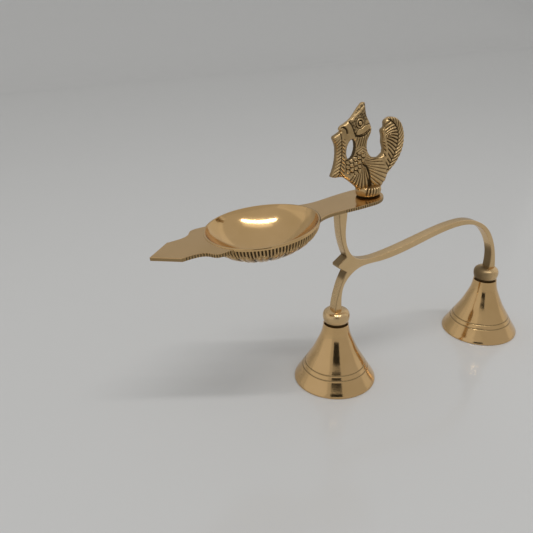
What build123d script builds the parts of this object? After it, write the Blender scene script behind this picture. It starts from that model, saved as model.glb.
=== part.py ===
import os
from math import cos, hypot, radians, sin

from build123d import *

# Sizes in millimetres. X runs from the pointed lip of the dish to the rear bell.
# Z is up from the surface that the bells stand on.

# Where the main pieces stand, along the length from the front bell's axis.
bell_spacing = 105.5
bowl_ahead = 41.5
stem_offset = 0.65
peacock_offset = 16.4

# Bells: the two feet, turned hollow, with a flat crown.
bell_r = 21.7
bell_h = 33.3
bell_wall = 1.5
bell_crown = 2.2
bell_curve = [
    (1.0, 0.0),
    (0.99, 0.03),
    (0.94, 0.09),
    (0.825, 0.21),
    (0.69, 0.36),
    (0.557, 0.51),
    (0.452, 0.66),
    (0.352, 0.826),
    (0.302, 1.0),
]

# Collars of the stand: a round knob on a smaller boss, over each bell.
collar_gap = 1.5
collar_h = 6.5
collar_r = 7.0
boss_r = 5.4
collar_curve = [(0.92, 0.0), (0.985, 0.25), (1.0, 0.5), (0.93, 0.75), (0.72, 0.93), (0.4, 1.0)]

# Stand: one casting of stem, spur, leg and handle. Tables give offset and share of the height.
bar_width = 5.6
bar_edge = 0.7
node_z = 66.6
spur_root_top = 3.4
spur_root_low = 3.6
spur_tip = -1.5
spur_half = 4.1
spur_nose = 0.6
arm_rise = 7.6
root_share = -0.08
stem_front = [(-1.8, 1.08), (-1.0, 0.668), (1.7, 0.289)]
stem_back = [(6.4, 0.172), (2.6, 0.546), (3.0, 0.911), (3.1, 1.08)]
leg_front = [(0.6, 0.577), (-1.6, 0.253), (-2.6, root_share)]
leg_back = [(1.8, root_share), (1.3, 0.261), (2.7, 0.557), (7.6, 0.783)]
arm_under = [(0.105, -0.474), (0.22, -0.342), (0.374, -0.092), (0.61, 0.658), (0.728, 0.816), (0.836, 0.645)]
arm_over = [(0.84, 0.974), (0.754, 1.197), (0.641, 1.079), (0.412, 0.487), (0.256, 0.105), (0.135, 0.079)]
drop_inner = [(-5.1, 0.614), (-1.3, 0.343), (-0.7, 0.204), (-1.3, root_share)]
drop_outer = [(4.1, root_share), (2.6, 0.228), (-0.5, 0.523), (-7.0, 0.812)]
tenon_length = 3.0
tenon_width = 3.4

# Dish: bowl, pointed lip and shank in one casting, tilted up towards the shank.
dish_tilt = 4.58
rim_z = 95.9
rim_half_length = 27.4
rim_half_width = 24.6
rim_egg = 0.06
rim_points = 8
rim_land = 1.5
rim_proud = 0.3
rim_band = 1.2
band_step = 0.4
bowl_depth = 15.2
bowl_wall = 1.5
bowl_curve = [(1.0, 0.0), (0.958, 0.25), (0.825, 0.5), (0.638, 0.7), (0.425, 0.85), (0.212, 0.95), (0.1, 1.0)]
plate_t = 1.7
tip_reach = 53.7
shank_end = 64.9
shank_r = 10.4
lip_side = [(-42.7, 9.9), (-37.8, 9.8), (-34.4, 10.4), (-32.0, 12.0), (-30.4, 14.6)]
lip_root = (-21.0, 15.6)
shank_side = [(20.0, 14.0), (25.2, 10.6), (31.8, 9.1), (38.0, 9.4), (45.0, 10.1)]

# Peacock: a flat pierced casting on a round foot, held by a screw from under the shank.
figure_t = 4.4
figure_edge = 0.7
foot_r = 6.3
foot_h = 4.9
foot_edge = 1.0
foot_gap = 0.15
face = [(-5.6, 44.9), (-10.0, 40.1), (-13.4, 36.8), (-16.9, 34.0)]
beak = (-21.0, 30.6)
leaf = [(-19.2, 23.7), (-21.6, 11.6)]
belly = [(-14.4, 11.1), (-10.6, 8.4), (-6.0, 3.6)]
tail_back = [(6.0, 3.4), (8.4, 5.6), (9.8, 9.0), (15.6, 14.8), (18.6, 24.8), (16.3, 31.4), (11.2, 36.1)]
tail_front = [(8.4, 35.4), (8.0, 32.5), (6.3, 30.4), (6.2, 26.1), (7.2, 21.2)]
nape = [(2.6, 18.0), (-2.3, 21.3), (-3.0, 26.1), (-1.1, 31.6), (-3.9, 37.8), (-5.0, 42.6)]
pierce_at = (-11.7, 23.4)
pierce_half_width = 2.9
pierce_half_height = 5.0
pierce_lean = -10.0

# Fasteners and clapper chains.
fit_gap = 0.05
eye_screw_r = 2.0
eye_screw_depth = 6.0
shoulder_r = 3.2
shoulder_h = 1.4
eye_r = 2.4
eye_wire = 0.8
link_r = 2.6
link_wire = 0.7
loop_r = 2.4
loop_wire = 0.7
chain_gap = 0.1
clapper_rod_r = 0.9
clapper_ball_r = 3.4
clapper_ball_z = 8.0
foot_screw_r = 1.5
foot_screw_depth = 4.0
foot_head_r = 2.8
foot_head_h = 1.6
slot_width = 0.7
slot_depth = 0.7

# Places worked out from the sizes above.
tilt = radians(dish_tilt)
front_x = -(bell_spacing + bell_r - bowl_ahead - tip_reach * cos(tilt)) / 2
rear_x = front_x + bell_spacing
collar_low = bell_h + collar_gap
collar_top = collar_low + collar_h
bowl_x = front_x - bowl_ahead
along_dish = (cos(tilt), 0, sin(tilt))
square_to_dish = (-sin(tilt), 0, cos(tilt))
dish_plane = Plane(origin=(bowl_x, 0, rim_z), x_dir=along_dish, z_dir=square_to_dish)
under_plane = dish_plane.offset(-plate_t)
stem_u = (bowl_ahead + stem_offset) / cos(tilt)
stem_top = (under_plane.location * Pos(stem_u, 0, 0)).position.Z
peacock_u = (bowl_ahead + peacock_offset) / cos(tilt)
foot_at = (dish_plane.location * Pos(peacock_u, 0, 0)).position
ceiling_z = bell_h - bell_crown
eye_z = ceiling_z - shoulder_h - eye_r
eye_low_z = eye_z - eye_r
link_z = eye_low_z + eye_wire + link_wire + chain_gap - link_r
link_low_z = link_z - link_r
loop_z = link_low_z + link_wire + loop_wire + chain_gap - loop_r

upward = (Align.CENTER, Align.CENTER, Align.MIN)
downward = (Align.CENTER, Align.CENTER, Align.MAX)

os.makedirs("parts", exist_ok=True)


def upright(x):
    return Plane(origin=(x, 0, 0), x_dir=(1, 0, 0), z_dir=(0, -1, 0))


def spindle(x):
    return Axis((x, 0, 0), (0, 0, 1))


def stem_at(dx, share):
    return (front_x + dx, node_z + share * (stem_top - node_z))


def leg_at(dx, share):
    return (front_x + dx, collar_top + share * (node_z - collar_top))


def arm_at(along, share):
    return (front_x + along * bell_spacing, node_z + share * arm_rise)


def drop_at(dx, share):
    return (rear_x + dx, collar_top + share * (node_z + arm_rise - collar_top))


def inward(points, distance):
    # Each point of the bell's outer curve moved square to the curve, to its inside.
    moved = []
    for i, (r, z) in enumerate(points):
        before = points[max(i - 1, 0)]
        after = points[min(i + 1, len(points) - 1)]
        run = hypot(after[0] - before[0], after[1] - before[1])
        rise, spread = (after[1] - before[1]) / run, (after[0] - before[0]) / run
        moved.append((r - distance * rise, z + distance * spread))
    return moved


def bell_section():
    outer = [(bell_r * r, bell_h * z) for r, z in bell_curve]
    inner = [p for p in inward(outer, bell_wall) if 0 < p[1] < ceiling_z - bell_wall]
    mouth = (bell_r - bell_wall, 0)
    top = (inner[-1][0] - bell_wall / 2, ceiling_z)
    with BuildLine() as outline:
        Line((eye_screw_r + fit_gap, bell_h), outer[-1])
        Spline(*reversed(outer[1:]), tangents=((0, -1), (0, -1)))
        Line(outer[1], outer[0])
        Line(outer[0], mouth)
        Spline(mouth, *inner[1:], top)
        Line(top, (eye_screw_r + fit_gap, ceiling_z))
        Line((eye_screw_r + fit_gap, ceiling_z), (eye_screw_r + fit_gap, bell_h))
    make_face(outline.edges())


def collar_section():
    with BuildLine() as outline:
        knob = [(collar_r * r, collar_low + collar_h * z) for r, z in collar_curve]
        Polyline((0, bell_h), (boss_r, bell_h), (boss_r, collar_low), knob[0])
        Spline(*knob, tangents=((0.3, 1), (-1, 0.15)))
        Polyline(knob[-1], (0, collar_top), (0, bell_h))
    make_face(outline.edges())


def eye_screw_section():
    with BuildLine() as outline:
        Polyline(
            (0, ceiling_z - shoulder_h),
            (shoulder_r, ceiling_z - shoulder_h),
            (shoulder_r, ceiling_z),
            (eye_screw_r, ceiling_z),
            (eye_screw_r, bell_h + eye_screw_depth - eye_screw_r / 2),
            (eye_screw_r / 2, bell_h + eye_screw_depth),
            (0, bell_h + eye_screw_depth),
            close=True,
        )
    make_face(outline.edges())


def egg_rim(half_length, half_width):
    # An oval that is a little narrower towards the shank.
    turns = [radians(360 * i / rim_points) for i in range(rim_points)]
    with BuildLine() as outline:
        Spline(
            *[(half_length * cos(t), half_width * sin(t) * (1 - rim_egg * cos(t))) for t in turns],
            periodic=True,
        )
    make_face(outline.edges())


def bowl_levels(inset, top, depth):
    # Ovals from the rim down, that the bowl's outside or its hollow is drawn through.
    levels = []
    for share, sunk in bowl_curve:
        with BuildSketch(dish_plane.offset(top - depth * sunk)) as level:
            egg_rim(share * (rim_half_length - inset), share * (rim_half_width - inset))
        levels.append(level.sketch)
    return levels


with BuildPart() as front_bell:
    with BuildSketch(upright(front_x)):
        bell_section()
    revolve(axis=spindle(front_x))

with BuildPart() as rear_bell:
    with BuildSketch(upright(rear_x)):
        bell_section()
    revolve(axis=spindle(rear_x))

with BuildPart() as front_eye_screw:
    with BuildSketch(upright(front_x)):
        eye_screw_section()
    revolve(axis=spindle(front_x))
    with Locations(Pos(front_x, 0, eye_z) * Rot(90, 0, 0)):
        Torus(eye_r, eye_wire)

with BuildPart() as rear_eye_screw:
    with BuildSketch(upright(rear_x)):
        eye_screw_section()
    revolve(axis=spindle(rear_x))
    with Locations(Pos(rear_x, 0, eye_z) * Rot(90, 0, 0)):
        Torus(eye_r, eye_wire)

with BuildPart() as front_link:
    with Locations(Pos(front_x, 0, link_z) * Rot(0, 90, 0)):
        Torus(link_r, link_wire)

with BuildPart() as rear_link:
    with Locations(Pos(rear_x, 0, link_z) * Rot(0, 90, 0)):
        Torus(link_r, link_wire)

with BuildPart() as front_clapper:
    with Locations(Pos(front_x, 0, clapper_ball_z)):
        Sphere(clapper_ball_r)
        Cylinder(clapper_rod_r, loop_z - loop_r - clapper_ball_z, align=upward)
    with Locations(Pos(front_x, 0, loop_z) * Rot(90, 0, 0)):
        Torus(loop_r, loop_wire)

with BuildPart() as rear_clapper:
    with Locations(Pos(rear_x, 0, clapper_ball_z)):
        Sphere(clapper_ball_r)
        Cylinder(clapper_rod_r, loop_z - loop_r - clapper_ball_z, align=upward)
    with Locations(Pos(rear_x, 0, loop_z) * Rot(90, 0, 0)):
        Torus(loop_r, loop_wire)

# The stand's side outline, drawn once round and given the bar's width, then the collars turned on.
with BuildPart() as stand:
    spur_above = (front_x + spur_root_top, node_z + spur_half)
    spur_below = (front_x + spur_root_low, node_z - spur_half)
    nose_top = (front_x + spur_tip, node_z + spur_nose)
    nose_low = (front_x + spur_tip, node_z - spur_nose)
    with BuildSketch(Plane.XZ):
        with BuildLine():
            Spline(*[stem_at(*p) for p in stem_front], spur_above)
            Polyline(spur_above, nose_top, nose_low, spur_below)
            Spline(spur_below, *[leg_at(*p) for p in leg_front])
            Line(leg_at(*leg_front[-1]), leg_at(*leg_back[0]))
            Spline(
                *[leg_at(*p) for p in leg_back],
                *[arm_at(*p) for p in arm_under],
                *[drop_at(*p) for p in drop_inner],
            )
            Line(drop_at(*drop_inner[-1]), drop_at(*drop_outer[0]))
            Spline(
                *[drop_at(*p) for p in drop_outer],
                *[arm_at(*p) for p in arm_over],
                *[stem_at(*p) for p in stem_back],
            )
            Line(stem_at(*stem_back[-1]), stem_at(*stem_front[0]))
        make_face()
    extrude(amount=bar_width / 2, both=True)
    sides = stand.edges().group_by(Axis.Y)
    fillet(sides[0] + sides[-1], radius=bar_edge)
    split(bisect_by=under_plane, keep=Keep.BOTTOM)
    for x in (front_x, rear_x):
        with BuildSketch(upright(x)):
            collar_section()
        revolve(axis=spindle(x))
        with Locations(Pos(x, 0, bell_h)):
            Cylinder(eye_screw_r + fit_gap, eye_screw_depth + fit_gap, align=upward, mode=Mode.SUBTRACT)
    with Locations(under_plane.location * Pos(stem_u, 0, -plate_t)):
        Box(tenon_length, tenon_width, 2 * plate_t, align=upward)

# The dish: lip and shank as one flat outline pierced for tenon and screw, the rim band, then the bowl.
with BuildPart() as dish:
    with BuildSketch(dish_plane):
        with BuildLine():
            Line((-tip_reach, 0), lip_side[0])
            Spline(*lip_side)
            Polyline(lip_side[-1], lip_root, shank_side[0])
            Spline(*shank_side, (shank_end - shank_r, shank_r), tangents=((0.5, -0.9), (1, 0)))
            RadiusArc((shank_end - shank_r, shank_r), (shank_end, 0), shank_r)
            mirror(about=Plane.XZ)
        make_face()
        with Locations((stem_u, 0)):
            Rectangle(tenon_length + 2 * fit_gap, tenon_width + 2 * fit_gap, mode=Mode.SUBTRACT)
        with Locations((peacock_u, 0)):
            Circle(foot_screw_r + 2 * fit_gap, mode=Mode.SUBTRACT)
    extrude(amount=-plate_t)
    with BuildSketch(dish_plane.offset(rim_proud)):
        egg_rim(rim_half_length, rim_half_width)
    extrude(amount=-rim_proud - rim_band)
    loft(sections=bowl_levels(band_step, -rim_band, bowl_depth - rim_band))
    loft(sections=bowl_levels(rim_land, rim_proud, rim_proud + bowl_depth - bowl_wall), mode=Mode.SUBTRACT)

# The peacock: its pierced outline, the round foot cut to sit on the sloping shank, and the screw hole.
with BuildPart() as peacock:
    with BuildSketch(Plane(foot_at, x_dir=(1, 0, 0), z_dir=(0, -1, 0))):
        with BuildLine():
            Spline(*face)
            Line(face[-1], beak)
            Spline(beak, *leaf)
            Line(leaf[-1], belly[0])
            Spline(*belly)
            Line(belly[-1], tail_back[0])
            Spline(*tail_back)
            Line(tail_back[-1], tail_front[0])
            Spline(*tail_front, *nape)
            Line(nape[-1], face[0])
        make_face()
        with Locations(Location(pierce_at, pierce_lean)):
            Ellipse(pierce_half_width, pierce_half_height, mode=Mode.SUBTRACT)
    extrude(amount=figure_t / 2, both=True)
    sides = peacock.edges().group_by(Axis.Y)
    fillet(sides[0] + sides[-1], radius=figure_edge)
    with Locations(Pos(*foot_at)):
        Cylinder(foot_r, 2 * foot_h)
    rims = peacock.edges().filter_by(GeomType.CIRCLE)
    fillet(rims.filter_by(lambda rim: rim.radius == foot_r), radius=foot_edge)
    split(bisect_by=dish_plane.offset(foot_gap), keep=Keep.TOP)
    with Locations(dish_plane.location * Pos(peacock_u, 0, 0)):
        Cylinder(foot_screw_r + fit_gap, 2 * foot_screw_depth, mode=Mode.SUBTRACT)

with BuildPart() as peacock_screw:
    with Locations(under_plane.location * Pos(peacock_u, 0, 0)):
        Cylinder(foot_screw_r, plate_t + foot_screw_depth - fit_gap, align=upward)
        Cylinder(foot_head_r, foot_head_h, align=downward)
    with Locations(under_plane.location * Pos(peacock_u, 0, -foot_head_h)):
        Box(2 * foot_head_r, slot_width, 2 * slot_depth, mode=Mode.SUBTRACT)

pieces = {
    "dish": dish,
    "stand": stand,
    "peacock": peacock,
    "peacock_screw": peacock_screw,
    "front_bell": front_bell,
    "rear_bell": rear_bell,
    "front_eye_screw": front_eye_screw,
    "rear_eye_screw": rear_eye_screw,
    "front_link": front_link,
    "rear_link": rear_link,
    "front_clapper": front_clapper,
    "rear_clapper": rear_clapper,
}
for label, piece in pieces.items():
    piece.part.label = label
    export_step(piece.part, f"parts/{label}.step")
    print(label, piece.part.bounding_box())
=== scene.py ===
import math

import bpy
import numpy as np
from mathutils import Matrix, Vector
from mathutils.geometry import tessellate_polygon


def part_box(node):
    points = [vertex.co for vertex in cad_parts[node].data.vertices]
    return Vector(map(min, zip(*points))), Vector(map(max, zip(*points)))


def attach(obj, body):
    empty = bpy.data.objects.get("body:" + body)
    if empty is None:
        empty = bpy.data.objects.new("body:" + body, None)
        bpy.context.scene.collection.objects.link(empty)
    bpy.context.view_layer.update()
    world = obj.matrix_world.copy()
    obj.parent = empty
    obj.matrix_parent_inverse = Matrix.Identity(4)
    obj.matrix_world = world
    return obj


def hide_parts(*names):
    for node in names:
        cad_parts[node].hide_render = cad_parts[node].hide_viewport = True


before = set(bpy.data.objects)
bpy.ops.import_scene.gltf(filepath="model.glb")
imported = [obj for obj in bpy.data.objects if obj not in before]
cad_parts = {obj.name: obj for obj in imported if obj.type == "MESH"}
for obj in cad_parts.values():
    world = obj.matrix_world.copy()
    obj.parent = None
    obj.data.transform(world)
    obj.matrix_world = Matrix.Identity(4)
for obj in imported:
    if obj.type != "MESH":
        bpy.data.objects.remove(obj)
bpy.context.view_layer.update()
mm = 0.001
print("lamp: CAD frame loaded")


def boxOf(node):
    # The low and high corners of a CAD piece in mm.
    low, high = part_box(node)
    return np.array(low) / mm, np.array(high) / mm


bellLow, bellHigh = boxOf("front_bell")
rearLow, rearHigh = boxOf("rear_bell")
dishLow, dishHigh = boxOf("dish")
frontX = (bellLow[0] + bellHigh[0]) / 2
rearX = (rearLow[0] + rearHigh[0]) / 2
bellR = (bellHigh[0] - bellLow[0]) / 2
bellH = bellHigh[2]


# Finishes

def newFinish(name):
    # A new finish with its nodes, its links, its shader and its texture coordinates.
    finish = bpy.data.materials.new(name)
    finish.use_nodes = True
    nodes, links = finish.node_tree.nodes, finish.node_tree.links
    shader = nodes["Principled BSDF"]
    place = nodes.new("ShaderNodeTexCoord")
    return finish, nodes, links, shader, place


def noiseNode(nodes, links, place, scale, detail, roughness=0.5):
    noise = nodes.new("ShaderNodeTexNoise")
    noise.inputs["Scale"].default_value = scale
    noise.inputs["Detail"].default_value = detail
    noise.inputs["Roughness"].default_value = roughness
    links.new(place.outputs["Object"], noise.inputs["Vector"])
    return noise


def rampNode(nodes, links, source, stops):
    ramp = nodes.new("ShaderNodeValToRGB")
    ramp.color_ramp.elements[0].position, ramp.color_ramp.elements[0].color = stops[0]
    ramp.color_ramp.elements[1].position, ramp.color_ramp.elements[1].color = stops[1]
    links.new(source, ramp.inputs["Fac"])
    return ramp


def rangeNode(nodes, links, source, low, high):
    span = nodes.new("ShaderNodeMapRange")
    span.inputs["To Min"].default_value = low
    span.inputs["To Max"].default_value = high
    links.new(source, span.inputs["Value"])
    return span


brass = {
    "goldStops": (0.3, 0.7),
    "driftDetail": 3,
    "wearDetail": 6,
    "wearRoughness": 0.6,
    "grainDetail": 4,
    "grainHeight": 0.0002,
}


def brassFinish(name, look):
    # Gold that drifts slightly from place to place, dark where the "recess" attribute is 1: painted shade
    # in gaps, joints and on edge walls, and dirt in carved hollows.
    finish, nodes, links, shader, place = newFinish(name)
    shader.inputs["Metallic"].default_value = 1.0
    drift = noiseNode(nodes, links, place, look["driftScale"], brass["driftDetail"])
    deepStop, lightStop = brass["goldStops"]
    stops = [(deepStop, look["deep"]), (lightStop, look["light"])]
    gold = rampNode(nodes, links, drift.outputs["Fac"], stops)
    recess = nodes.new("ShaderNodeAttribute")
    recess.attribute_name = "recess"
    grimeAndShade = nodes.new("ShaderNodeMix")
    grimeAndShade.data_type = "RGBA"
    grimeAndShade.inputs[7].default_value = look["grimeAndShade"]
    links.new(recess.outputs["Fac"], grimeAndShade.inputs[0])
    links.new(gold.outputs["Color"], grimeAndShade.inputs[6])
    links.new(grimeAndShade.outputs[2], shader.inputs["Base Color"])
    wear = noiseNode(nodes, links, place, look["wearScale"], brass["wearDetail"], brass["wearRoughness"])
    gloss = rangeNode(nodes, links, wear.outputs["Fac"], look["gloss"][0], look["gloss"][1])
    dull = nodes.new("ShaderNodeMath")
    dull.operation = "MULTIPLY_ADD"
    dull.inputs[1].default_value = look["dullRecess"]
    links.new(recess.outputs["Fac"], dull.inputs[0])
    links.new(gloss.outputs["Result"], dull.inputs[2])
    links.new(dull.outputs["Value"], shader.inputs["Roughness"])
    grain = noiseNode(nodes, links, place, look["grainScale"], brass["grainDetail"])
    bump = nodes.new("ShaderNodeBump")
    bump.inputs["Strength"].default_value = look["grain"]
    bump.inputs["Distance"].default_value = brass["grainHeight"]
    links.new(grain.outputs["Fac"], bump.inputs["Height"])
    links.new(bump.outputs["Normal"], shader.inputs["Normal"])
    return finish


polishedLook = {
    "deep": (0.64, 0.42, 0.190, 1),
    "light": (0.70, 0.465, 0.225, 1),
    "grimeAndShade": (0.100, 0.070, 0.034, 1),
    "driftScale": 60,
    "wearScale": 900,
    "gloss": (0.08, 0.17),
    "dullRecess": 0.35,
    "grainScale": 1400,
    "grain": 0.04,
}
antiqueLook = {
    "deep": (0.50, 0.34, 0.160, 1),
    "light": (0.68, 0.475, 0.240, 1),
    "grimeAndShade": (0.075, 0.052, 0.025, 1),
    "driftScale": 220,
    "wearScale": 1200,
    "gloss": (0.22, 0.40),
    "dullRecess": 0.30,
    "grainScale": 2200,
    "grain": 0.25,
}
satinLook = dict(polishedLook, gloss=(0.20, 0.30), grain=0.06)
satinLook.update(deep=(0.68, 0.475, 0.245, 1), light=(0.74, 0.53, 0.29, 1))
plainLook = dict(polishedLook, gloss=(0.22, 0.34), grain=0.1)
polishedBrass = brassFinish("polished_brass", polishedLook)
antiqueBrass = brassFinish("antique_brass", antiqueLook)
satinBrass = brassFinish("satin_brass", satinLook)
plainBrass = brassFinish("plain_brass", plainLook)
print("lamp: finishes made")


# Surface tools. A shell is (points in mm, quads, recess) and faces outwards.

def gridQuads(rows, cols, wrapRows=False, wrapCols=True):
    # Point (i, j) of a grid is number i * cols + j; each quad joins it to the next row and column.
    i = np.arange(rows if wrapRows else rows - 1)[:, None]
    j = np.arange(cols if wrapCols else cols - 1)[None, :]
    down, right = (i + 1) % rows, (j + 1) % cols
    corners = [i * cols + j, i * cols + right, down * cols + right, down * cols + j]
    return np.stack(corners, axis=-1).reshape(-1, 4)


def outward(points, quads):
    # Six times the signed volume is the sum of the corner triple products: negative means inside out.
    a, b, c, d = (points[quads[:, k]] for k in range(4))
    volume = np.sum(a * np.cross(b, c)) + np.sum(a * np.cross(c, d))
    return quads if volume > 0 else quads[:, ::-1]


def closedShell(points, quads, recess=None):
    recess = np.zeros(len(points)) if recess is None else recess.ravel()
    return points, outward(points, quads), recess


def curveThrough(knots, count):
    # Natural cubic curve through the knots: second slopes solved by chord length, then evenly spaced.
    knots = np.array(knots, float)
    steps = np.diff(knots, axis=0)
    t = np.r_[0, np.cumsum(np.linalg.norm(steps, axis=1))]
    h, n = np.diff(t), len(t)
    inner = np.arange(1, n - 1)
    system, slope = np.eye(n), np.zeros_like(knots)
    system[inner, inner - 1], system[inner, inner + 1] = h[:-1], h[1:]
    system[inner, inner] = 2 * (h[:-1] + h[1:])
    slope[inner] = 6 * (steps[1:] / h[1:, None] - steps[:-1] / h[:-1, None])
    bend = np.linalg.solve(system, slope)
    s = np.linspace(0, t[-1], count)
    k = np.clip(np.searchsorted(t, s, side="right") - 1, 0, n - 2)
    left, right, hk = (s - t[k])[:, None], (t[k + 1] - s)[:, None], h[k][:, None]
    cubic = (bend[k] * right**3 + bend[k + 1] * left**3) / (6 * hk)
    lower = (knots[k] / hk - bend[k] * hk / 6) * right
    upper = (knots[k + 1] / hk - bend[k + 1] * hk / 6) * left
    return cubic + lower + upper


def turned(profile, x, columns, closed=False):
    # A profile of (radius, height) carried round the upright axis at x.
    angle = np.linspace(0, 2 * np.pi, columns, endpoint=False)[None, :]
    r, z = profile[:, :1], profile[:, 1:]
    points = np.stack([x + r * np.cos(angle), r * np.sin(angle), z + 0 * angle], axis=-1).reshape(-1, 3)
    return closedShell(points, gridQuads(len(profile), columns, wrapRows=closed))


def fillLoop(loop):
    # Triangles between the points of a closed flat outline, each turned anticlockwise.
    faces = np.array(tessellate_polygon([[Vector((u, v, 0)) for u, v in loop.tolist()]]))
    one, two = loop[faces[:, 1]] - loop[faces[:, 0]], loop[faces[:, 2]] - loop[faces[:, 0]]
    over = one[:, 0] * two[:, 1] < one[:, 1] * two[:, 0]
    return np.where(over[:, None], faces[:, ::-1], faces)


def addPiece(name, shells, finish, nodes, body="lamp", sharpAngle=35):
    # Joins the shells, welds points that share a place and drops the corners that the weld collapses.
    starts = np.cumsum([0] + [len(shell[0]) for shell in shells])
    points = np.concatenate([shell[0] for shell in shells])
    recess = np.concatenate([shell[2] for shell in shells])
    quads = np.concatenate([shell[1] + start for shell, start in zip(shells, starts)])
    first, same = np.unique(np.round(points, 4), axis=0, return_index=True, return_inverse=True)[1:]
    quads = same.ravel()[quads]
    twin = quads == np.roll(quads, 1, axis=1)
    faces = np.split(quads[~twin], np.cumsum(4 - twin.sum(axis=1))[:-1])
    mesh = bpy.data.meshes.new(name)
    mesh.from_pydata((points[first] * mm).tolist(), [], [face for face in faces if len(face) > 2])
    mesh.attributes.new("recess", "FLOAT", "POINT").data.foreach_set("value", recess[first])
    mesh.shade_smooth()
    mesh.set_sharp_from_angle(angle=math.radians(sharpAngle))
    mesh.materials.append(finish)
    piece = bpy.data.objects.new(name, mesh)
    bpy.context.scene.collection.objects.link(piece)
    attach(piece, body)
    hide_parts(*nodes)
    return piece


def doubleArea(loop):
    # Twice the area inside a closed outline, positive when it runs anticlockwise.
    return np.sum(loop[:, 0] * np.roll(loop[:, 1], -1) - np.roll(loop[:, 0], -1) * loop[:, 1])


def sidewaysNormal(loop):
    # Unit normals of a closed outline, pointing out of it.
    ahead, behind = np.roll(loop, -1, axis=0) - loop, loop - np.roll(loop, 1, axis=0)
    mean = ahead / np.linalg.norm(ahead, axis=1)[:, None] + behind / np.linalg.norm(behind, axis=1)[:, None]
    normal = np.stack([mean[:, 1], -mean[:, 0]], axis=1) / np.linalg.norm(mean, axis=1)[:, None]
    return normal * np.sign(doubleArea(loop))


def castPlate(loop, inset, level, place, recess=None):
    # An outline carried through rows of (inset, level), with its first and last rows filled.
    # place maps the outline and its level to the lamp's own axes.
    flat = loop[None] - inset[..., None] * sidewaysNormal(loop)[None]
    rows, cols = flat.shape[:2]
    points = place(flat[..., 0], flat[..., 1], level[:, None] + np.zeros((rows, cols))).reshape(-1, 3)
    recess = np.zeros((rows, cols)) if recess is None else recess
    ends = [fillLoop(flat[0]), fillLoop(flat[-1])[:, ::-1] + (rows - 1) * cols]
    caps = np.concatenate([np.concatenate([end, end[:, :1]], axis=1) for end in ends])
    walls = gridQuads(rows, cols)
    if doubleArea(loop) > 0:
        walls = walls[:, ::-1]
    return closedShell(points, np.concatenate([walls, caps]), recess)


# Bells: the outer curve, two engraved lines, a rolled rim and the hollow inside.

bell = {
    "curve": [(1, 0.02), (0.99, 0.035), (0.94, 0.09), (0.825, 0.21), (0.69, 0.36),
              (0.557, 0.51), (0.452, 0.66), (0.352, 0.826), (0.302, 1)],
    "lines": (7.8, 10.1),
    "lineDepth": 0.16,
    "lineWidth": 0.24,
    "lineShade": 0.75,
    "wall": 1.5,
    "rimEdge": 0.1,
    "crown": 2.2,
    "crownEdge": 0.6,
    "innerGaps": (0.5, 1),
    "screwHole": 2.05,
    "rows": 170,
    "innerEvery": 4,
    "columns": 192,
}


def bellShell(x):
    # The outer curve less a bell-shaped groove at each engraved line; the hollow lies one wall inside it.
    outer = curveThrough([(r * bellR, z * bellH) for r, z in bell["curve"]], bell["rows"])
    cut = sum(np.exp(-(((outer[:, 1] - line) / bell["lineWidth"]) ** 2)) for line in bell["lines"])
    slope = np.gradient(outer, axis=0)
    across = np.stack([slope[:, 1], -slope[:, 0]], axis=1) / np.linalg.norm(slope, axis=1)[:, None]
    inner = (outer - bell["wall"] * across)[: -1 : bell["innerEvery"]]
    ceiling = bellH - bell["crown"]
    overRim, underCrown = bell["innerGaps"]
    inner = inner[(inner[:, 1] < ceiling - underCrown) & (inner[:, 1] > overRim)]
    edge, hole = bell["rimEdge"], bell["screwHole"]
    rim = [(bellR, edge), (bellR - edge, 0), (bellR - bell["wall"], 0)]
    top = [(inner[-1, 0] - bell["crownEdge"], ceiling), (hole, ceiling), (hole, bellH)]
    engraved = outer - (bell["lineDepth"] * cut)[:, None] * across
    profile = np.concatenate([engraved[::-1], rim, inner, top])
    points, quads, recess = turned(profile, x, bell["columns"], closed=True)
    grooved = np.zeros(len(profile))
    grooved[: len(cut)] = bell["lineShade"] * cut[::-1]
    return points, quads, np.repeat(grooved, bell["columns"])


addPiece("front_bell_turned", [bellShell(frontX)], polishedBrass, ["front_bell"])
addPiece("rear_bell_turned", [bellShell(rearX)], polishedBrass, ["rear_bell"])
print("lamp: bells turned")


# Stand: one casting of stem, spur, leg, handle strap and two collars.

stand = {
    "width": 5.6,
    "edge": 0.5,
    "stemFront": [(-1.9, 98.3), (-1.7, 93.2), (-1.0, 85.9), (0.1, 80.1), (1.7, 75.0), (3.4, 70.7)],
    "spur": [(3.4, 70.7), (-1.5, 67.2), (-1.5, 66.0), (3.6, 62.5)],
    "legFront": [(3.6, 62.5), (2.1, 59.6), (-0.8, 51.6), (-2.4, 42.9), (-2.6, 39.3)],
    "underside": [(1.8, 39.3), (1.3, 47.9), (2.7, 55.4), (7.6, 61.1), (11.1, 63.0), (23.2, 64.0),
                  (39.5, 65.9), (56.2, 69.7), (73.0, 72.7), (88.2, 71.5), (94.0, 68.5),
                  (100.4, 61.5), (104.2, 52.6), (104.8, 48.0), (104.2, 38.7)],
    "topside": [(109.6, 38.7), (108.1, 48.8), (105.0, 58.5), (98.5, 68.0), (92.3, 72.3), (84.1, 75.2),
                (74.3, 75.6), (61.0, 73.9), (43.5, 70.3), (27.0, 67.4), (14.2, 67.2), (10.0, 68.6),
                (6.4, 71.6), (2.6, 82.1), (3.0, 93.6), (3.2, 98.5)],
    # spots of painted shade on the edge walls, each x, z, reach along x, reach along z
    "shadeSpots": [(1.0, 69.0, 6.0, 5.0), (2.8, 61.5, 4.0, 4.5), (103.9, 45.0, 2.0, 15.0)],
    "shadeSpotStrength": 0.75,
    "frontStripe": 0.45,
    "collar": [(5.4, 34.8), (6.44, 34.8), (6.9, 36.4), (7.0, 38.05), (6.51, 39.7),
               (5.04, 40.85), (2.8, 41.3)],
    "collarTop": 41.35,
    "collarGap": 0.02,
    "sideDark": (0, 0.9),
    "columns": 96,
}


def onSide(x, z, y):
    # From along, up and across the stand to the lamp's own axes.
    return np.stack([x, y, z], axis=-1)


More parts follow.
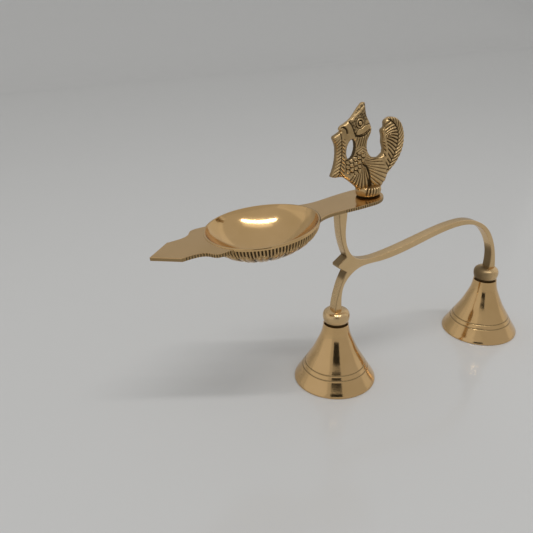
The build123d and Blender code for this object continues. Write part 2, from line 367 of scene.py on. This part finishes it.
def standShells():
    # The side outline with edges rounded on a quarter circle, and a turned collar on each bell.
    # Painted shade on the edge walls fades out from each (x, z, reach along x, reach along z): under the
    # spur and where the strap comes down to the rear collar.
    front = [curveThrough(stand["stemFront"], 36)[:-1], np.array(stand["spur"])[:-1]]
    front.append(curveThrough(stand["legFront"], 34))
    strap = [curveThrough(stand["underside"], 200), curveThrough(stand["topside"], 210)]
    loop = np.concatenate(front + strap)
    turn = np.linspace(0, np.pi / 2, 6)
    inset = stand["edge"] * (1 - np.sin(turn))
    fall = stand["edge"] * (1 - np.cos(turn))
    inset = np.r_[stand["edge"] + 0.05, inset, inset[::-1], stand["edge"] + 0.05][:, None]
    level = np.r_[0, fall, stand["width"] - fall[::-1], stand["width"]] - stand["width"] / 2
    x, z, wide, high = np.array(stand["shadeSpots"]).T[:, :, None]
    shadeSpots = np.clip(2 - 2 * np.hypot((loop[:, 0] - x) / wide, (loop[:, 1] - z) / high), 0, 1).max(axis=0)
    wall = np.r_[0, np.linspace(0, 1, 6), np.linspace(1, 0, 6), 0][:, None]
    # The front faces of the stem, spur and leg are darker down their middle.
    frontStripe = stand["frontStripe"] * np.r_[0, np.hanning(8)[1:-1], np.hanning(8)[1:-1], 0][:, None]
    onFront = np.arange(len(loop)) < sum(len(run) for run in front)
    recess = np.maximum(stand["shadeSpotStrength"] * wall * shadeSpots, frontStripe * onFront)
    shells = [castPlate(loop + [frontX, 0], inset + np.zeros((1, len(loop))), level, onSide, recess)]
    seat, (neck, shoulder) = bellH + stand["collarGap"], stand["collar"][0]
    swell = curveThrough(stand["collar"][1:], 28)
    knob = np.concatenate([[(0, seat), (neck, seat), (neck, shoulder)], swell, [(0, stand["collarTop"])]])
    # Painted shade fills the collar's neck in the gap above the bell; the rear collar is also darker on its
    # side towards the front bell.
    shade = np.where(knob[:, 1] < shoulder + 0.05, 1.0, 0.0)
    forward = np.clip(-np.cos(np.linspace(0, 2 * np.pi, stand["columns"], endpoint=False)) - 0.1, 0, 1)
    for x, sideDark in zip((frontX, rearX), stand["sideDark"]):
        points, quads = turned(knob, x, stand["columns"])[:2]
        shells.append((points, quads, np.maximum(shade[:, None], sideDark * forward).ravel()))
    return shells


addPiece("stand_casting", standShells(), satinBrass, ["stand"])
print("lamp: stand cast")


# Dish: an oval bowl with a ribbed outside, a thin proud rim, a pointed lip and a shank.

dish = {
    "tilt": math.radians(4.58),
    "tipReach": 53.7,
    "shankEnd": 64.9,
    "halfLength": 27.4,
    "halfWidth": 24.6,
    "egg": 0.06,
    "depth": 15.2,
    "wall": 1.5,
    "land": 1.0,
    "proud": 0.3,
    "band": 0.9,
    "ribs": 104,
    "ribDepth": 0.55,
    "ribFoot": 0.24,
    "scallop": 0.14,
    "petals": 20,
    "petalDepth": 0.7,
    "petalFoot": 0.97,
    "vein": 0.35,
    "ringGroove": 0.7,
    "rowCrowding": 1.2,
    "outerPower": 1.5,
    "innerPower": 0.8,
    "outerRows": 58,
    "innerRows": 30,
    "jointShade": [0.8, 0.8, 0.8, 1, 1, 0.5],
    "root": 0.6,
    "columns": 832,
}
bowlX = dishLow[0] + dish["tipReach"] * math.cos(dish["tilt"])
rimZ = dishHigh[2] - dish["shankEnd"] * math.sin(dish["tilt"])


def onDish(u, v, w):
    # From along, across and above the tilted rim plane to the lamp's own axes.
    c, s = math.cos(dish["tilt"]), math.sin(dish["tilt"])
    return np.stack([bowlX + u * c - w * s, v + 0 * u, rimZ + u * s + w * c], axis=-1)


def eggRim(r, angle):
    # An oval of half width r, a little narrower towards the shank.
    u = r * dish["halfLength"] / dish["halfWidth"] * np.cos(angle)
    return u, r * np.sin(angle) * (1 - dish["egg"] * np.cos(angle))


def bowlShell():
    # Share q of the depth at share r of the rim is sqrt(1-r**1.5) outside and (1-r**2)**0.8 inside.
    # Ribs ring the upper part of the outside and petals the lower part.
    angle = np.linspace(0, 2 * np.pi, dish["columns"], endpoint=False)[None, :]
    q = 1 - np.linspace(0, 1, dish["outerRows"]) ** dish["rowCrowding"]
    share = (1 - q**2) ** (1 / dish["outerPower"])
    rim, proud, mouth = dish["halfWidth"], dish["proud"], dish["halfWidth"] - dish["land"]
    under = -dish["band"]
    band = np.array([(rim - 0.3, under - 0.05), (rim - 0.05, under), (rim, under + 0.2), (rim, proud - 0.3),
                     (rim - 0.12, proud - 0.08), (rim - 0.35, proud), (mouth + 0.3, proud),
                     (mouth + 0.08, proud - 0.12)])
    inner = np.linspace(1, 0, dish["innerRows"]) ** 0.8
    r = np.r_[(rim - 0.35) * share, band[:, 0], mouth * inner][:, None]
    outer = under - (dish["depth"] - dish["band"]) * q
    hollow = (dish["wall"] - dish["depth"]) * (1 - inner**2) ** dish["innerPower"]
    w = np.r_[outer, band[:, 1], hollow][:, None]
    rest = np.zeros(len(band) + len(inner))
    outside, q = np.r_[np.ones(len(q)), rest][:, None], np.r_[q, rest][:, None]
    petal = np.abs(np.sin(dish["petals"] * angle / 2))
    foot = dish["ribFoot"] + dish["scallop"] * (1 - petal**0.8)
    ribZone = outside * np.clip((foot - q) / 0.03, 0, 1) * np.clip(q / 0.02, 0, 1)
    petalZone = outside * np.clip((q - foot) / 0.03, 0, 1) * np.clip((dish["petalFoot"] - q) / 0.2, 0, 1)
    ribGroove = (1 - np.abs(np.cos(dish["ribs"] * angle / 2))) ** 0.7
    vein = dish["vein"] * np.exp(-(((petal - 1) / 0.03) ** 2))
    ring = dish["ringGroove"] * np.exp(-(((q - foot) / 0.035) ** 2))
    petalGroove = np.clip((1 - petal) ** 2 + vein, 0, 1) + ring
    cut = ribZone * dish["ribDepth"] * ribGroove
    cut = cut + petalZone * dish["petalDepth"] * np.clip(petalGroove, 0, 1)
    u, v = eggRim(r - cut, angle)
    grimeAndShade = np.clip(ribZone * ribGroove * 1.5 + petalZone * petalGroove * 1.2, 0, 1)
    step = np.zeros((len(r), 1))
    step[len(share) : len(share) + len(dish["jointShade"]), 0] = dish["jointShade"]
    joint = np.clip((np.cos(angle) - 0.78) / 0.05, 0, 1)
    points = onDish(u, v, w + 0 * u + 0.5 * cut).reshape(-1, 3)
    return closedShell(points, gridQuads(len(r), dish["columns"]), np.maximum(grimeAndShade, step * joint))


plateEdge = {
    "thick": 1.7,
    "ridgePitch": 1.25,
    "ridge": 0.3,
    "perRidge": 6,
}
lip = {
    "side": [(-42.7, 9.9), (-37.8, 9.8), (-34.4, 10.4), (-32.0, 12.0), (-30.0, 15.0), (-22.6, 15.9)],
    "ridged": (-42.0, -22.0),
}
shank = {
    "side": [(19.6, 14.4), (25.2, 10.6), (31.8, 9.1), (38.0, 9.4), (45.0, 10.1), (54.5, 10.4)],
    "end": 10.4,
    "ridged": (38.0, 66.0),
}


def plateShell(outline, plate):
    # A flat plate on the dish's plane. Its edge swells in and out as the sine of the run along it.
    pitch = plateEdge["ridgePitch"]
    run = np.r_[0, np.cumsum(np.linalg.norm(np.diff(outline, axis=0), axis=1))]
    even = np.linspace(0, run[-1], int(run[-1] / pitch) * plateEdge["perRidge"], endpoint=False)
    loop = np.stack([np.interp(even, run, outline[:, 0]), np.interp(even, run, outline[:, 1])], axis=1)
    low, high = plate["ridged"]
    ridged = np.clip(loop[:, 0] - low, 0, 1) * np.clip(high - loop[:, 0], 0, 1)
    hollow = ridged * (1 - np.abs(np.sin(np.pi * even / pitch)))
    share = np.array([0, 0.3, 1, 1, 1, 1, 0.3, 0])[:, None]
    edge = np.array([0.18, 0.15, 0, 0, 0, 0, 0.15, 0.18])[:, None]
    level = -plateEdge["thick"] * np.array([0, 0, 0.14, 0.3, 0.7, 0.86, 1, 1])
    # The edge wall gets painted shade all along, deeper in the hollows between the ridges where dirt also
    # sits.
    grimeAndShade = np.clip(0.55 + 0.9 * hollow - 0.2 * ridged, 0, 1)
    recess = np.array([0, 0, 0.6, 1, 1, 1, 0.6, 0])[:, None] * grimeAndShade
    return castPlate(loop, edge + share * plateEdge["ridge"] * hollow, level, onDish, recess)


def fromRim(points):
    # The points of a plate's side outside the bowl's hollow, and the angle at which they leave it.
    u, v = points[:, 0] * dish["halfWidth"] / dish["halfLength"], points[:, 1]
    angle = np.arctan2(v, u)
    clear = np.hypot(u, v / (1 - dish["egg"] * np.cos(angle))) > dish["halfWidth"] - dish["root"]
    return points[clear], angle[clear]


def rootArc(start, end):
    # The end of a plate inside the bowl's wall, along the rim.
    return np.stack(eggRim(dish["halfWidth"] - dish["root"], np.linspace(start, end, 40)), axis=1)


def lipOutline():
    # From the point of the lip along one side, round the root and back along the mirrored side.
    side, angle = fromRim(curveThrough(lip["side"], 80))
    half = np.concatenate([[(-dish["tipReach"], 0)], side])
    root = rootArc(angle[-1], 2 * np.pi - angle[-1])
    return np.concatenate([half, root, half[:0:-1] * [1, -1], half[:1]])


def shankOutline():
    # Along one side, round the half circle at the end, back along the mirrored side and round the root.
    half, angle = fromRim(curveThrough(shank["side"], 80))
    turn = np.linspace(np.pi / 2, -np.pi / 2, 60)
    middle, radius = shank["side"][-1][0], shank["end"]
    cap = np.stack([middle + radius * np.cos(turn), radius * np.sin(turn)], axis=1)
    root = rootArc(-angle[0], angle[0])
    return np.concatenate([half[:-1], cap, half[-2::-1] * [1, -1], root, half[:1]])


dishShells = [bowlShell(), plateShell(lipOutline(), lip), plateShell(shankOutline(), shank)]
addPiece("dish_casting", dishShells, polishedBrass, ["dish"])
print("lamp: dish cast")


# Peacock: a pierced flat casting with carved feathers on both faces, on a round foot with toes.

peacock = {
    "footAlong": 58.09,
    "middle": 2.2,
    "rim": 1.3,
    "crestRim": 0.8,
    "edge": 0.7,
    "step": 0.2,
    "carve": 0.9,
    "face": [(-5.1, 44.2), (-6.4, 44.3), (-8.0, 43.1), (-10.5, 40.1), (-12.5, 37.8), (-13.9, 36.7)],
    "upperBill": [(-13.9, 36.7), (-16.0, 35.5), (-18.3, 33.9), (-18.4, 33.2), (-17.8, 32.4)],
    "lowerBill": [(-17.8, 32.4), (-20.0, 31.2), (-21.9, 29.8), (-21.7, 29.0)],
    "leaf": [(-21.7, 29.0), (-20.4, 26.0), (-20.0, 22.0), (-20.6, 17.0), (-22.5, 11.7)],
    "belly": [(-22.5, 11.7), (-20.0, 11.1), (-17.0, 11.0), (-15.0, 10.1), (-11.5, 7.5),
              (-8.5, 5.0), (-6.4, 2.6)],
    "tailBack": [(6.4, 2.6), (7.6, 4.5), (8.8, 5.7), (9.5, 8.0), (12.5, 11.4), (15.5, 14.8),
                 (18.0, 20.0), (18.6, 24.5), (17.4, 30.5), (14.9, 34.2), (12.2, 35.7), (9.3, 36.1)],
    "tailFront": [(9.3, 36.1), (7.3, 35.1), (6.5, 33.4), (6.7, 31.7), (5.4, 30.7), (5.2, 29.2),
                  (5.8, 27.2), (5.8, 25.0), (6.7, 21.6), (6.7, 19.4), (4.8, 17.7), (2.2, 17.6),
                  (0.2, 18.2), (-2.4, 21.0), (-3.2, 24.4), (-2.8, 27.0), (-1.0, 31.4), (-1.3, 33.0),
                  (-2.4, 35.4), (-4.0, 38.8), (-4.7, 42.3), (-5.1, 44.2)],
    "runs": [("face", 40), ("upperBill", 24), ("lowerBill", 20), ("leaf", 50), ("belly", 60),
             ("tailBack", 120), ("tailFront", 200)],
    "hole": (-12.1, 23.4, 2.45, 4.7, math.radians(-8)),
    "offset": (0.35, 0.6),
    "holeShade": 0.9,
    "edgeShade": 0.45,
    "footR": 6.3,
    "footH": 4.9,
    "footGap": 0.15,
    "toes": 12,
}
carving = {
    "tailSpine": [(9.0, 10.5), (11.3, 15.5), (13.3, 20.0), (14.3, 25.0), (13.8, 29.5),
                  (11.5, 33.0), (8.3, 35.4)],
    "tailVine": [(5.8, 30.6), (6.6, 27.5), (7.6, 24.0), (8.4, 20.5), (8.2, 16.5)],
    "leafSpine": [(-18.3, 31.5), (-17.7, 24.0), (-18.2, 16.0), (-19.4, 8.0)],
    "wingLine": [(-5.4, 15.8), (-3.4, 14.2), (-1.9, 11.0), (-1.2, 8.0)],
    "crestLine": [(-15.0, 38.0), (-12.6, 34.8), (-10.9, 31.0), (-9.9, 29.4)],
    "billLine": [(-19.2, 33.6), (-16.8, 34.2), (-15.4, 33.0), (-15.0, 31.4)],
    "jawLine": [(-10.0, 29.5), (-7.0, 29.2), (-4.6, 29.9), (-2.4, 31.4)],
    "browLine": [(-6.2, 42.6), (-7.6, 41.0), (-9.6, 39.4), (-12.0, 37.0)],
    "tailZone": [(4.5, 19.0), (7.6, 16.0), (9.0, 9.5), (20.0, 8.0), (22.0, 38.0), (4.0, 38.0)],
    "leafZone": [(-25.0, 29.4), (-16.0, 29.0), (-15.6, 21.0), (-15.8, 15.0), (-15.2, 9.0), (-25.0, 9.0)],
    "breastZone": [(-15.6, 19.0), (-9.0, 22.6), (-4.0, 20.4), (-5.6, 16.2), (-7.0, 11.6),
                   (-10.4, 10.4), (-15.2, 13.0)],
    "flankZone": [(-7.0, 12.0), (-5.6, 16.2), (-3.4, 14.2), (-1.9, 11.0), (-1.2, 3.0),
                  (-8.0, 3.0), (-14.0, 9.4), (-10.4, 10.8)],
    "wingZone": [(-5.4, 16.0), (-4.0, 20.0), (4.5, 19.4), (9.4, 9.0), (9.0, 3.0),
                 (-1.0, 3.0), (-1.9, 11.0), (-3.4, 14.4)],
    "neckZone": [(-9.6, 28.8), (-4.6, 29.4), (-1.0, 31.0), (-2.6, 24.4), (-9.2, 24.4)],
    "collarZone": [(-9.4, 24.2), (-2.0, 24.2), (-2.0, 20.6), (-9.8, 21.6)],
    "crestZone": [(-4.0, 46.0), (-15.5, 38.6), (-10.9, 31.6), (-9.0, 33.4), (-3.4, 36.4)],
    "legGap": [(-1.6, 9.2), (-2.3, 5.6), (-1.6, 3.4), (0.2, 3.4), (0.2, 5.6)],
    "eye": (-8.0, 35.3),
    "cheek": (-6.0, 32.1, 4.3, 1.5, math.radians(22)),
    "wingFan": (-11.0, 17.2),
    "flankFan": (-5.6, 17.6),
    "knob": (5.5, 18.4),
}
footX = bowlX + peacock["footAlong"] * math.cos(dish["tilt"])
footZ = rimZ + peacock["footAlong"] * math.sin(dish["tilt"])


def nearLine(knots, x, z, count=60):
    # Run along a curve and signed distance from it, positive on its left, for every point.
    line = curveThrough(knots, count)
    start, way = line[:-1], np.diff(line, axis=0)
    length = np.linalg.norm(way, axis=1)
    px, pz = x[:, None] - start[:, 0], z[:, None] - start[:, 1]
    share = np.clip((px * way[:, 0] + pz * way[:, 1]) / length**2, 0, 1)
    gap = np.hypot(px - share * way[:, 0], pz - share * way[:, 1])
    k, i = gap.argmin(axis=1), np.arange(len(x))
    run = np.r_[0, np.cumsum(length)][k] + share[i, k] * length[k]
    left = np.sign(way[k, 0] * pz[i, k] - way[k, 1] * px[i, k])
    return run, left * gap[i, k]


def loopDepth(loop, x, z):
    # Distance inside a closed outline, negative outside, and the nearest point on it.
    # A ray to one side crosses the outline an odd number of times from inside. A band of points at a time.
    depth, near = np.empty(len(x)), np.empty((len(x), 2))
    way = np.roll(loop, -1, axis=0) - loop
    for band in np.array_split(np.arange(len(x)), 16):
        px, pz = x[band, None] - loop[:, 0], z[band, None] - loop[:, 1]
        share = np.clip((px * way[:, 0] + pz * way[:, 1]) / np.sum(way**2, axis=1), 0, 1)
        gap = np.hypot(px - share * way[:, 0], pz - share * way[:, 1])
        k, i = gap.argmin(axis=1), np.arange(len(band))
        crosses = (pz < 0) != (pz - way[:, 1] < 0)
        right = px * way[:, 1] < pz * way[:, 0]
        inside = np.sum(crosses & (right == (way[:, 1] > 0)), axis=1) % 2 == 1
        depth[band] = np.where(inside, gap[i, k], -gap[i, k])
        near[band] = loop[k] + share[i, k][:, None] * way[k]
    return depth, near


def zone(name, x, z):
    # 1 inside a carving zone, 0 outside, over a soft half millimetre.
    return np.clip(loopDepth(np.array(carving[name]), x, z)[0] / 0.5 + 0.5, 0, 1)


def ridges(phase, crisp=0.75):
    # One round ridge per whole step of the phase: the size of its sine, to a power under 1.
    return np.abs(np.sin(np.pi * phase)) ** crisp


def scales(x, z, width=2.9, drop=1.7, lean=math.radians(-35)):
    # Overlapping round scales in staggered rows, the lower row painted over the upper.
    across, down = x * math.cos(lean) + z * math.sin(lean), x * math.sin(lean) - z * math.cos(lean)
    height = np.zeros_like(x)
    row = np.floor(down / drop)
    for step in (1, 0, -1):
        shift = (np.mod(row + step, 2)) * width / 2
        local = np.mod(across + shift, width) - width / 2
        gap = np.hypot(local, down - (row + step) * drop) / (0.62 * width)
        height = np.where(gap < 1, np.clip((1 - gap) / 0.4, 0, 1), height)
    return height


def carved(x, z):
    # Height of the carving from 0 in its grooves to 1 on its ridges, painted zone by zone.
    height = np.full_like(x, 0.8)

    def paint(mask, pattern):
        height[:] = height * (1 - mask) + mask * pattern

    def line(knots, width, pattern):
        gap = np.abs(nearLine(carving[knots], x, z)[1])
        paint(np.exp(-((gap / width) ** 4)), pattern)

    def spot(centre, radius, pattern):
        gap = np.hypot(x - centre[0], z - centre[1])
        paint(np.clip((radius - gap) / 0.3 + 0.5, 0, 1), pattern(gap))

    def pupil(gap):
        ring = np.where(np.abs(gap - 1.9) < 0.35, 0.8, 0.15)
        return np.where(gap < 0.9, 1.2 - 0.3 * (gap / 0.9) ** 2, ring)

    def bead(gap):
        return 1.5 - 0.5 * (gap / 1.5) ** 2

    speckle = np.sin(2.9 * x + 1.1 * np.sin(1.7 * z)) * np.sin(3.3 * z + 1.3 * np.sin(2.1 * x))
    paint(zone("breastZone", x, z), 0.85 * scales(x, z) + 0.15 * speckle)
    fan = np.degrees(np.arctan2(z - carving["flankFan"][1], x - carving["flankFan"][0]))
    paint(zone("flankZone", x, z), ridges(fan / 9.0))
    fan = np.degrees(np.arctan2(z - carving["wingFan"][1], x - carving["wingFan"][0]))
    paint(zone("wingZone", x, z), 0.32 + 0.68 * ridges(fan / 5.6))
    run, side = nearLine(carving["tailSpine"], x, z)
    slant = np.where(side > 0, 0.55, 1.0)
    paint(zone("tailZone", x, z), ridges((run - slant * np.abs(side)) / 1.9))
    run, side = nearLine(carving["leafSpine"], x, z)
    paint(zone("leafZone", x, z), 0.22 + 0.78 * ridges((run - 0.8 * np.abs(side)) / 1.6))
    paint(zone("neckZone", x, z), ridges((x - 0.25 * z) / 1.25))
    paint(zone("collarZone", x, z), 0.3 + 0.6 * ridges((z + 0.6 * np.abs(x + 6)) / 1.3))
    paint(zone("crestZone", x, z), 0.5 + 0.25 * speckle)
    line("tailSpine", 0.3, 0.1)
    line("tailVine", 0.45, 1.0)
    line("leafSpine", 0.22, 0.2)
    line("wingLine", 0.5, 0.0)
    paint(zone("legGap", x, z), 0.0)
    line("crestLine", 0.3, 0.1)
    line("browLine", 0.5, 0.9)
    line("jawLine", 0.4, 0.0)
    line("billLine", 0.4, 0.05)
    cx, cz, long, short, lean = carving["cheek"]
    u = ((x - cx) * math.cos(lean) + (z - cz) * math.sin(lean)) / long
    v = ((z - cz) * math.cos(lean) - (x - cx) * math.sin(lean)) / short
    reach = np.hypot(u, v)
    dome = 0.7 + 0.4 * np.sqrt(np.clip(1 - reach**2, 0, 1))
    paint(np.clip((1.2 - reach) / 0.06, 0, 1), np.where(reach < 1, dome, 0.1))
    spot(carving["eye"], 2.5, pupil)
    spot(carving["knob"], 1.5, bead)
    return height


def figureShell():
    # A square grid cut to the outline and the hole, its rim points moved onto them, mirrored front to back.
    # Half the thickness falls from the middle to the rim with the distance inside, and follows the carving.
    cx, cz, wide, high, lean = peacock["hole"]
    turn = np.linspace(0, 2 * np.pi, 72, endpoint=False)
    along, over, c, s = wide * np.cos(turn), high * np.sin(turn), math.cos(lean), math.sin(lean)
    hole = np.stack([cx + along * c - over * s, cz + along * s + over * c], axis=1)
    loop = np.concatenate([curveThrough(peacock[name], count) for name, count in peacock["runs"]])
    loop = loop[np.linalg.norm(np.roll(loop, -1, axis=0) - loop, axis=1) > 0.001]
    step = peacock["step"]
    gx = np.arange(loop[:, 0].min() - step, loop[:, 0].max() + 2 * step, step)
    gz = np.arange(loop[:, 1].min() - step, loop[:, 1].max() + 2 * step, step)
    x, z = (grid.ravel() for grid in np.meshgrid(gx, gz))
    depth, near = loopDepth(loop, x, z)
    holeDepth, holeNear = loopDepth(hole, x, z)
    atHole = -holeDepth < depth
    near = np.where(atHole[:, None], holeNear, near)
    depth = np.minimum(depth, -holeDepth)
    quads = gridQuads(len(gz), len(gx), wrapCols=False)
    quads = quads[depth[quads].mean(axis=1) > 0]
    uses = np.bincount(quads.ravel(), minlength=len(x))
    rim = (uses > 0) & (uses < 4)
    x, z = np.where(rim, near[:, 0], x), np.where(rim, near[:, 1], z)
    depth = np.where(rim, 0, np.maximum(depth, 0))
    height = carved(x, z)
    rounding = 1 - np.sqrt(1 - (1 - np.clip(depth / peacock["edge"], 0, 1)) ** 2)
    thin = peacock["rim"] + (peacock["crestRim"] - peacock["rim"]) * np.clip((z - 33) / 5, 0, 1)
    domed = peacock["middle"] + (thin - peacock["middle"]) * np.exp(-depth / 1.2)
    relief = peacock["carve"] * (height - 0.8) * np.clip(depth / 0.6, 0, 1)
    half = np.maximum(domed - 0.6 * peacock["edge"] * rounding + relief, 0.35)
    count = len(x)
    points = np.concatenate([np.stack([x, -half, z], axis=1), np.stack([x, half, z], axis=1)])
    edges = np.concatenate([quads[:, [k, (k + 1) % 4]] for k in range(4)])
    lone = ~np.isin(edges[:, 0] * count + edges[:, 1], edges[:, 1] * count + edges[:, 0])
    a, b = edges[lone].T
    walls = np.stack([b, a, a + count, b + count], axis=1)
    faces = np.concatenate([quads, quads[:, ::-1] + count, walls])
    used, faces = np.unique(faces, return_inverse=True)
    shadedEdge = (x < -18.5) | ((np.abs(x - 1.8) < 5.5) & (z > 16))
    recess = np.clip(1.55 * (0.9 - height), 0, 1) * np.clip(depth / 0.4, 0, 1)
    recess = recess + rim * np.where(atHole, peacock["holeShade"], peacock["edgeShade"] * shadedEdge)
    alongX, alongZ = peacock["offset"]
    points = points[used] + [footX + alongX, 0, footZ + alongZ]
    return closedShell(points, faces.reshape(-1, 4), np.r_[recess, recess][used])


def footShell():
    # A round foot whose front and back are cut into toes; its underside follows the slope of the shank.
    turn = np.linspace(0, 2 * np.pi, 288, endpoint=False)[None, :]
    rise = np.array([0, 0, 0.09, 0.14, 0.2, 0.35, 0.5, 0.7, 0.85, 0.95, 1.0, 1.0])[:, None]
    share = np.array([0, 0.84, 0.84, 0.92, 0.95, 0.98, 1.0, 1.0, 0.97, 0.9, 0.8, 0])[:, None]
    band = np.array([0, 0, 0, 0, 0.1, 0.8, 1, 1, 1, 0.8, 0.5, 0])[:, None]
    toe = np.abs(np.sin(peacock["toes"] * (turn + 0.12 * rise * np.sign(np.sin(turn))))) ** 0.7
    facing = np.clip((np.abs(np.sin(turn)) - 0.62) / 0.06, 0, 1)
    facing = facing * np.clip((0.55 - np.cos(turn)) / 0.06, 0, 1)
    r = peacock["footR"] * share - band * facing * (1 - toe)
    x = r * np.cos(turn)
    gap, slope = peacock["footGap"], math.tan(dish["tilt"])
    z = gap + rise * (peacock["footH"] - gap) + (1 - rise) * x * slope
    points = np.stack([footX + x, r * np.sin(turn), footZ + z], axis=-1).reshape(-1, 3)
    # The lowest rows carry a painted contact shadow where the foot meets the shank.
    under = np.array([1, 1, 1, 0.7, 0, 0, 0, 0, 0, 0, 0, 0])[:, None]
    recess = np.maximum(under, band * facing * np.clip(1.6 - 2 * toe, 0, 1))
    return closedShell(points, gridQuads(len(rise), turn.size), recess)


peacockShells = [figureShell(), footShell()]
addPiece("peacock_casting", peacockShells, antiqueBrass, ["peacock"], sharpAngle=70)
print("lamp: peacock carved")


# The screws, ring links and clappers keep their CAD shapes and get a plain brass finish.

def dressNode(node, finish):
    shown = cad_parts[node].data.materials
    shown.clear()
    shown.append(finish)


for node in ("peacock_screw", "front_eye_screw", "rear_eye_screw", "front_link", "rear_link",
             "front_clapper", "rear_clapper"):
    dressNode(node, plainBrass)
print("lamp: small pieces dressed")


# Studio: pale seamless floor, soft lamps and the solved camera.

studio = {
    "floor": (0.65, 0.65, 0.642, 1),
    "high": (0.86, 0.86, 0.85, 1),
    "shadeStops": (0.25, 0.8),
    "gloss": 0.16,
    "drop": 0.0001,
    "air": 0.47,
    "airTint": (1, 0.995, 0.985, 1),
    "front": 2.5,
    "back": 1.9,
    "rise": 1.6,
    "bend": 0.7,
    "halfWide": 3.0,
}


def seamless():
    # The floor runs back level and then rises on a quarter circle.
    turn = np.linspace(0, np.pi / 2, 24)[1:]
    bend, wall = studio["bend"], studio["back"] - studio["bend"]
    y = np.r_[-studio["front"], wall, wall + bend * np.sin(turn), studio["back"]]
    z = np.r_[0, 0, bend - bend * np.cos(turn), studio["rise"]] - studio["drop"]
    x = np.array([-studio["halfWide"], studio["halfWide"]])
    points = np.stack(np.broadcast_arrays(x[None, :], y[:, None], z[:, None]), axis=-1).reshape(-1, 3)
    mesh = bpy.data.meshes.new("studio_floor")
    mesh.from_pydata(points.tolist(), [], gridQuads(len(y), 2, wrapCols=False).tolist())
    mesh.shade_smooth()
    paper, nodes, links, shader, place = newFinish("floor_paper")
    height = nodes.new("ShaderNodeSeparateXYZ")
    links.new(place.outputs["Object"], height.inputs["Vector"])
    # Painted light: the paper's colour turns lighter from the floor up the rising back.
    stops = list(zip(studio["shadeStops"], (studio["floor"], studio["high"])))
    shade = rampNode(nodes, links, height.outputs["Z"], stops)
    links.new(shade.outputs["Color"], shader.inputs["Base Color"])
    shader.inputs["Roughness"].default_value = studio["gloss"]
    mesh.materials.append(paper)
    floor = bpy.data.objects.new("studio_floor", mesh)
    bpy.context.scene.collection.objects.link(floor)


def softbox(name, place, aim, size, power):
    # A flat lamp whose face looks from its place to its aim.
    light = bpy.data.lights.new(name, "AREA")
    light.shape = "RECTANGLE"
    light.size, light.size_y = size
    light.energy = power
    lamp = bpy.data.objects.new(name, light)
    lamp.location = place
    lamp.rotation_euler = (Vector(place) - Vector(aim)).to_track_quat("Z", "Y").to_euler()
    lamp.visible_camera = False
    bpy.context.scene.collection.objects.link(lamp)


softLamps = {
    # name: place, aim, size in metres, power in watts
    "strip_light": ((-0.112, -0.376, 1.22), (0.05, -0.054, 0.1), (1.0, 0.05), 4),
    "strip_glow": ((-0.054, -0.26, 1.25), (0.05, -0.054, 0.1), (0.8, 0.2), 0.22),
    "top_panel": ((0, 0.1, 1.6), (0, 0, 0), (4.5, 4.5), 3.5),
    "left_panel": ((-1.7, 0.3, 0.7), (0, 0, 0.1), (3.2, 1.6), 2.5),
    "right_panel": ((1.8, 0.1, 0.7), (0, 0, 0.1), (2.4, 1.6), 2),
}
seamless()
for name, (place, aim, size, power) in softLamps.items():
    softbox(name, place, aim, size, power)

darkCard = {
    "middle": (-0.142, -0.249, 0),
    "along": (0.89, -0.45, 0),
    "low": 0.065,
    "high": 0.150,
    "wide": 0.16,
    "shade": (0.03, 0.03, 0.03, 1),
}


def reflectionCard():
    # A dark upright card between the bells and the camera that is seen only in the brass.
    black, nodes, links, shader, place = newFinish("card_black")
    shader.inputs["Base Color"].default_value = darkCard["shade"]
    shader.inputs["Roughness"].default_value = 1.0
    middle = np.array(darkCard["middle"])
    half = np.array(darkCard["along"]) * darkCard["wide"] / 2
    low, high = (0, 0, darkCard["low"]), (0, 0, darkCard["high"])
    near, far = middle - half, middle + half
    corners = np.array([near + low, far + low, far + high, near + high])
    mesh = bpy.data.meshes.new("dark_card")
    mesh.from_pydata(corners.tolist(), [], [(0, 1, 2, 3)])
    mesh.materials.append(black)
    card = bpy.data.objects.new("dark_card", mesh)
    bpy.context.scene.collection.objects.link(card)
    card.visible_camera = card.visible_diffuse = card.visible_shadow = False


reflectionCard()

world = bpy.data.worlds.new("studio_air")
bpy.context.scene.world = world
world.use_nodes = True
world.node_tree.nodes["Background"].inputs["Color"].default_value = studio["airTint"]
world.node_tree.nodes["Background"].inputs["Strength"].default_value = studio["air"]

view = {
    "place": (-171.73, -230.29, 193.74),
    "heading": math.radians(26.653),
    "dip": math.radians(24.79),
    "roll": math.radians(-1.374),
    "lens": 40.825,
    "sensor": 36,
}


def addCamera():
    # Looks along the heading and down by the dip; its right and up turn about that line by the roll.
    heading, dip, roll = view["heading"], view["dip"], view["roll"]
    ahead = np.array([math.sin(heading) * math.cos(dip), math.cos(heading) * math.cos(dip), -math.sin(dip)])
    level = np.array([math.cos(heading), -math.sin(heading), 0])
    rise = np.cross(level, ahead)
    right = level * math.cos(roll) + rise * math.sin(roll)
    up = np.cross(right, ahead)
    data = bpy.data.cameras.new("photo_camera")
    data.lens, data.sensor_width = view["lens"], view["sensor"]
    camera = bpy.data.objects.new("photo_camera", data)
    turn = Matrix(np.stack([right, up, -ahead], axis=1).tolist()).to_4x4()
    camera.matrix_world = Matrix.Translation([c * mm for c in view["place"]]) @ turn
    bpy.context.scene.collection.objects.link(camera)
    bpy.context.scene.camera = camera


addCamera()
bpy.context.scene.view_settings.view_transform = "Standard"
print("lamp: studio lit")
